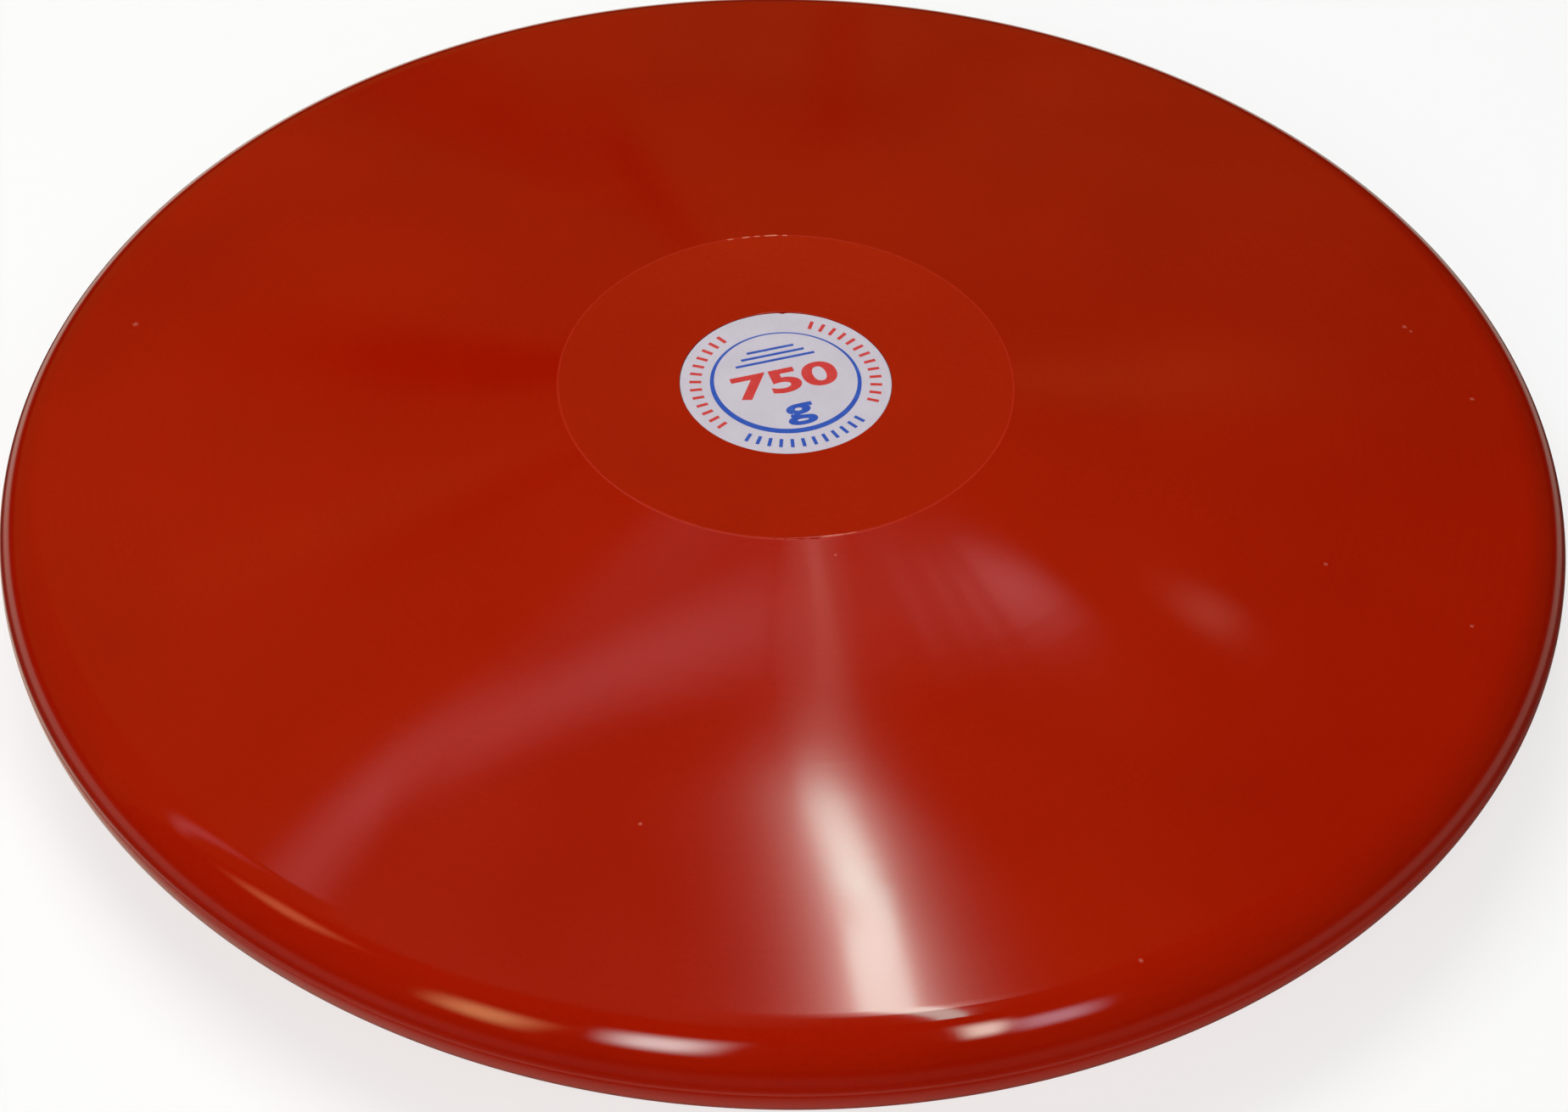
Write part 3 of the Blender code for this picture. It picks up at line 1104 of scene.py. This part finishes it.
# %% [markdown]
# The room behind the real lamps was dim, and greenish where it was not dark, which is why the red is
# so deep. So the world is weak for plain light. For mirrored rays it is a simple picture of that room:
# nearly black far to the right, a little lighter elsewhere, and a few soft patches, dark where
# something stood in front of the wall and pale where light fell on it. A patch is an oval in azimuth
# and elevation that fades as exp(-s^2), with s the distance from its middle in half widths. Only the
# camera, looking past the sheet, sees the world white.

# %% Fill the room
ROOM_LIGHT = 0.05
BACKGROUND_WHITE = 1.0
ROOM_DARK = 0.025
ROOM_LEFT_GLOW = 0.055
ROOM_TINT = (1.0, 1.0, 0.24)

# azimuth and elevation of the middle, half width and half height, in degrees, and what it adds
ROOM_PATCHES = (
    (110.6, 34.8, 2.3, 3.9, -0.11),
    (100.0, 19.8, 4.0, 1.6, -0.06),
    (96.2, 20.0, 0.9, 1.4, -0.05),
    (89.0, 18.1, 6.0, 0.45, -0.04),
    (88.6, 17.0, 0.9, 0.9, -0.04),
    (69.3, 34.9, 2.2, 3.8, 0.09),
    (122.0, 45.0, 7.0, 14.0, 0.05),
    (117.0, 44.8, 3.5, 1.4, 0.04),
    (115.5, 48.6, 3.0, 1.3, -0.05),
    (90.0, 38.7, 4.5, 2.0, 0.09),
)


def fill_room():
    """A world that lights weakly. Mirrored rays see it by their azimuth and elevation in degrees."""
    world = bpy.data.worlds.new("room")
    world.use_nodes = True
    bpy.context.scene.world = world
    start = Wire(world.node_tree)
    x, y, z = start.node("ShaderNodeTexCoord", output="Generated").parts()
    azimuth = start.math("ARCTAN2", y, x) * math.degrees(1)
    elevation = start.math("ARCSINE", z) * math.degrees(1)
    level = ROOM_DARK + (azimuth + elevation * 0.3).step(70.0, 82.0) * ROOM_LEFT_GLOW
    for middle, up, half_width, half_height, adds in ROOM_PATCHES:
        square = ((azimuth - middle) / half_width) ** 2 + ((elevation - up) / half_height) ** 2
        level = level + (0 - square).exp() * adds
    level = level.at_least(0.0) * z.step(-0.05, 0.05)
    mirrored = start.rays("Glossy")
    white = start.rays("Camera").at_least(start.rays("Transmission"))
    dim = ROOM_LIGHT + mirrored * (level - ROOM_LIGHT)
    background = world.node_tree.nodes["Background"]
    start.plug(background.inputs["Color"], mirrored.blend((1, 1, 1), ROOM_TINT))
    start.plug(background.inputs["Strength"], dim + white * (BACKGROUND_WHITE - dim))


fill_room()
print("patches in the room:", len(ROOM_PATCHES))

# %% [markdown]
# ## The lamps
#
# The highlights tell where the lamps stood. A mirrored ray was followed back from each highlight: a
# long tube hangs nearly overhead and a little to the right, two large bright panels stand behind the
# camera, left and right, and a warm one further left. Area lamps suit them, because their size
# decides both how soft the shadow is and how wide the highlight. A lamp's power follows from how
# bright its face should be: radiance times area times pi. A lamp with soft edges has nodes of its own.
#
# Most of the plain light comes from a broad soft lamp close above the discus, which is not mirrored.
# A weak one below keeps the underside from being black when it is seen.

# %% Hang the lamps
CEILING_HEIGHT = 2.4
LAMP_DISTANCE = 3.0


def panel(name, place, facing, width, height, radiance, colour, soft=0.0, mirrored=True):
    """A rectangular area lamp. Its rotation comes from the three axes in facing. With soft edges its
    light rises from nothing at each edge to full within that share of its width or height."""
    data = bpy.data.lights.new(name, "AREA")
    data.shape = "RECTANGLE"
    data.size = width
    data.size_y = height
    data.energy = radiance * width * height * math.pi
    data.color = colour
    if soft:
        data.use_nodes = True
        start = Wire(data.node_tree)
        across, up, _ = start.node("ShaderNodeNewGeometry", output="Parametric").parts()
        fade = across.step(0, soft) * across.step(1, 1 - soft) * up.step(0, soft) * up.step(1, 1 - soft)
        start.plug(data.node_tree.nodes["Emission"].inputs["Strength"], fade)
    lamp = link(name, data)
    lamp.matrix_world = Matrix.Translation(place) @ facing.to_4x4()
    lamp.visible_camera = False
    lamp.visible_glossy = mirrored


def tube(name, near, far, width, radiance, colour):
    """A long lamp that faces down, between two points on the ceiling."""
    long_axis = (far - near).normalized()
    facing = Matrix((long_axis.cross(Vector((0, 0, 1))), long_axis, Vector((0, 0, 1)))).transposed()
    panel(name, (near + far) / 2, facing, width, (far - near).length, radiance, colour)


def standing(name, azimuth, elevation, across, up, radiance, colour, lean=0.0, soft=0.0):
    """A lamp that faces the discus from a direction. Its width and height are angles in degrees, and
    it leans by an angle towards higher azimuths."""
    a, e = math.radians(azimuth), math.radians(elevation)
    direction = Vector((math.cos(a) * math.cos(e), math.sin(a) * math.cos(e), math.sin(e)))
    facing = direction.to_track_quat("Z", "Y").to_matrix() @ Matrix.Rotation(-math.radians(lean), 3, "Z")
    width = 2 * LAMP_DISTANCE * math.tan(math.radians(across / 2))
    height = 2 * LAMP_DISTANCE * math.tan(math.radians(up / 2))
    panel(name, direction * LAMP_DISTANCE, facing, width, height, radiance, colour, soft)


def plain_lamp(name, place, size, radiance):
    """A square lamp for plain light, which faces the discus and is not mirrored by it."""
    facing = Vector(place).to_track_quat("Z", "Y").to_matrix()
    panel(name, Vector(place), facing, size, size, radiance, (1.0, 1.0, 1.0), mirrored=False)


TUBE_PATH = ((0.540, -0.450), (0.178, 0.825), (0.160, 0.875))
TUBE_RADIANCE = (8.1, 9.8)
TUBE_WIDTH = 0.094
TUBE_COLOUR = (0.60, 1.0, 0.90)
for number, (near, far, radiance) in enumerate(zip(TUBE_PATH, TUBE_PATH[1:], TUBE_RADIANCE)):
    ends = (Vector((*point, CEILING_HEIGHT)) for point in (near, far))
    tube(f"overhead_tube_{number + 1}", *ends, TUBE_WIDTH, radiance, TUBE_COLOUR)
standing("panel_left", 255, 38, 17.0, 38, 11.5, (0.84, 1.0, 0.97), soft=0.45)
standing("panel_right", 301.2, 47, 6.8, 34, 12.0, (0.98, 1.0, 0.86), lean=12.5, soft=0.42)
standing("panel_right_dim", 309.8, 41.5, 14.0, 30, 4.0, (0.92, 0.92, 1.1), lean=12.5, soft=0.42)
standing("warm_panel", 233, 26, 18.0, 38, 3.8, (1.5, 0.95, 0.40), soft=0.45)
standing("warm_glow", 195.5, 42.5, 16.0, 21, 1.8, (1.9, 0.85, 0.36), soft=0.45)
plain_lamp("soft_lamp_above", (-0.112, 0.024, 0.58), 0.35, 6.25)
plain_lamp("light_from_below", (0.0, -0.05, -3.0), 2.1, 1.6)

# %% [markdown]
# Besides the lamps, the sides of the discus mirror faint bands and a small patch from the ceiling,
# which curve across the front like folds of light, and the glow that the tube throws on the ceiling
# round itself. The tube's far end bends and fades too softly for a lamp with straight sides. They are
# all strips of glowing card, each a ribbon carried along a smooth path. Its width and its brightness
# change along the path with the same smooth formula, and across it the light fades to nothing at both
# edges. They give next to no light, so plain rays don't see them.

# %% Hang the dim strips
STRIP_STEPS = 48
STRIP_HEIGHT = CEILING_HEIGHT - 0.01
TUBE_SHARE = 0.12


def smooth_path(knots, steps):
    """Rows on a smooth curve through rows of knots, by the Catmull-Rom formula: each span blends its
    four nearest knots with cubic weights."""
    knots = np.asarray(knots, float)
    ends = np.vstack([2 * knots[0] - knots[1], knots, 2 * knots[-1] - knots[-2]])
    s = np.linspace(0, len(knots) - 1, steps)
    span = np.minimum(s.astype(int), len(knots) - 2)
    t = (s - span)[:, None]
    p0, p1, p2, p3 = (ends[span + k] for k in range(4))
    return 0.5 * (2 * p1 + (p2 - p0) * t + (2 * p0 - 5 * p1 + 4 * p2 - p3) * t ** 2
                  + (3 * p1 - p0 - 3 * p2 + p3) * t ** 3)


def strip(name, knots, colour, steepness=0.0, level=False):
    """A dim ribbon on the ceiling. Each knot is (x, y, width, brightness). The ribbon's width lies
    square to its path, or where it is level along x. Its UV map holds the brightness and the place
    across."""
    path = smooth_path(knots, STRIP_STEPS)
    middle, width, brightness = path[:, :2], path[:, 2:3], np.maximum(path[:, 3], 0)
    forward = np.gradient(middle, axis=0)
    across = np.column_stack([-forward[:, 1], forward[:, 0]]) / np.linalg.norm(forward, axis=1)[:, None]
    if level:
        across = np.tile([-1.0, 0.0], (STRIP_STEPS, 1))
    sides = (middle - across * width / 2, middle + across * width / 2)
    points = [np.column_stack([side, np.full(STRIP_STEPS, STRIP_HEIGHT)]) / MM for side in sides]
    n = np.arange(STRIP_STEPS - 1)[:, None] * 2
    ribbon = mesh_object(name, np.stack(points, axis=1), [np.hstack([n, n + 1, n + 3, n + 2])])
    corners = np.zeros(len(ribbon.data.loops), int)
    ribbon.data.loops.foreach_get("vertex_index", corners)
    values = np.column_stack([np.repeat(brightness, 2), np.tile([0.0, 1.0], STRIP_STEPS)])
    ribbon.data.uv_layers.new(name="strip").data.foreach_set("uv", values[corners].ravel())
    wear(strip_finish(name, colour, steepness), ribbon)
    ribbon.visible_camera = ribbon.visible_diffuse = ribbon.visible_shadow = False


def strip_finish(name, colour, steepness):
    """Light that fades from a ribbon's middle to its sides: smoothly, or where a steepness is given
    as exp(-steepness d), with d going from 0 at the edge of the tube in its middle to 1."""
    material = bpy.data.materials.new(name)
    material.use_nodes = True
    tree = material.node_tree
    tree.nodes.remove(tree.nodes["Principled BSDF"])
    start = Wire(tree)
    brightness, across, _ = start.node("ShaderNodeTexCoord", output="UV").parts()
    edge = abs(across * 2 - 1)
    if steepness:
        beside_tube = (edge - TUBE_SHARE).at_least(0.0)
        fade = (beside_tube * -steepness).exp() - math.exp(-steepness * (1 - TUBE_SHARE))
    else:
        fade = edge.step(1.0, 0.0)
    glow = start.node("ShaderNodeEmission", inputs={"Color": colour, "Strength": fade * brightness})
    clear = start.node("ShaderNodeBsdfTransparent")
    both = start.node("ShaderNodeAddShader", inputs={0: glow, 1: clear})
    start.plug(tree.nodes["Material Output"].inputs["Surface"], both)
    material.cycles.emission_sampling = "NONE"
    return material


BAND_COLOUR = (1.75, 1.0, 1.12)
PATCH_COLOUR = (1.75, 1.0, 0.75)
TAIL_COLOUR = (1.5, 1.0, 0.92)
GLOW_COLOUR = (1.2, 1.0, 0.92)
GLOW_STEEPNESS = 6.3

strip("far_left_band", (
    (-3.60, -0.05, 0.30, 0), (-2.50, 0.36, 0.30, 0.6), (-1.76, 0.64, 0.30, 0.6),
    (-1.35, 0.80, 0.30, 0.4), (-1.05, 0.96, 0.30, 0),
), BAND_COLOUR)
strip("left_band", (
    (-0.86, 1.00, 0.22, 0), (-0.82, 1.12, 0.24, 0.45), (-0.74, 1.22, 0.20, 0.48),
    (-0.55, 1.17, 0.13, 0.55), (-0.25, 1.09, 0.12, 0.70), (-0.02, 1.07, 0.12, 0.55),
    (0.12, 1.08, 0.12, 0),
), BAND_COLOUR)
strip("right_band", (
    (0.16, 1.08, 0.14, 0), (0.32, 1.15, 0.14, 0.32), (0.50, 1.26, 0.13, 0.66),
    (0.68, 1.42, 0.12, 1.25), (0.80, 1.55, 0.10, 0),
), BAND_COLOUR)
strip("far_patch", (
    (0.96, 1.64, 0.08, 0), (1.02, 1.74, 0.08, 0.75), (1.08, 1.86, 0.08, 0),
), PATCH_COLOUR)
strip("tube_end", (
    (0.160, 0.875, 0.17, 17.2), (0.143, 0.895, 0.17, 18.8), (0.126, 0.915, 0.17, 18.4),
    (0.104, 0.936, 0.17, 13.8), (0.090, 0.950, 0.17, 7.6), (0.086, 0.958, 0.17, 0),
), TUBE_COLOUR, level=True)
strip("tube_tail", (
    (0.125, 1.60, 0.30, 1.8), (0.125, 1.30, 0.30, 1.8), (0.12, 1.14, 0.30, 1.4),
    (0.105, 1.06, 0.28, 0.9), (0.09, 1.00, 0.25, 0.6), (0.088, 0.96, 0.24, 0),
), TAIL_COLOUR, level=True)
strip("fold_haze", (
    (-0.70, 1.26, 0.42, 0), (-0.40, 1.27, 0.42, 0.20), (-0.10, 1.28, 0.42, 0.34),
    (0.25, 1.30, 0.42, 0.32), (0.45, 1.34, 0.42, 0.1), (0.60, 1.38, 0.42, 0),
), BAND_COLOUR)
strip("tube_glow", (
    (0.305, 0.36, 0.70, 6.8), (0.177, 0.80, 0.70, 6.8), (0.147, 0.875, 0.70, 7.0),
    (0.122, 0.915, 0.71, 7.0), (0.108, 0.936, 0.74, 7.0), (0.101, 0.954, 0.78, 5.2),
    (0.100, 0.972, 0.80, 1.5), (0.100, 1.00, 0.80, 0),
), GLOW_COLOUR, GLOW_STEEPNESS, level=True)
print("strips hung at", STRIP_HEIGHT, "m")
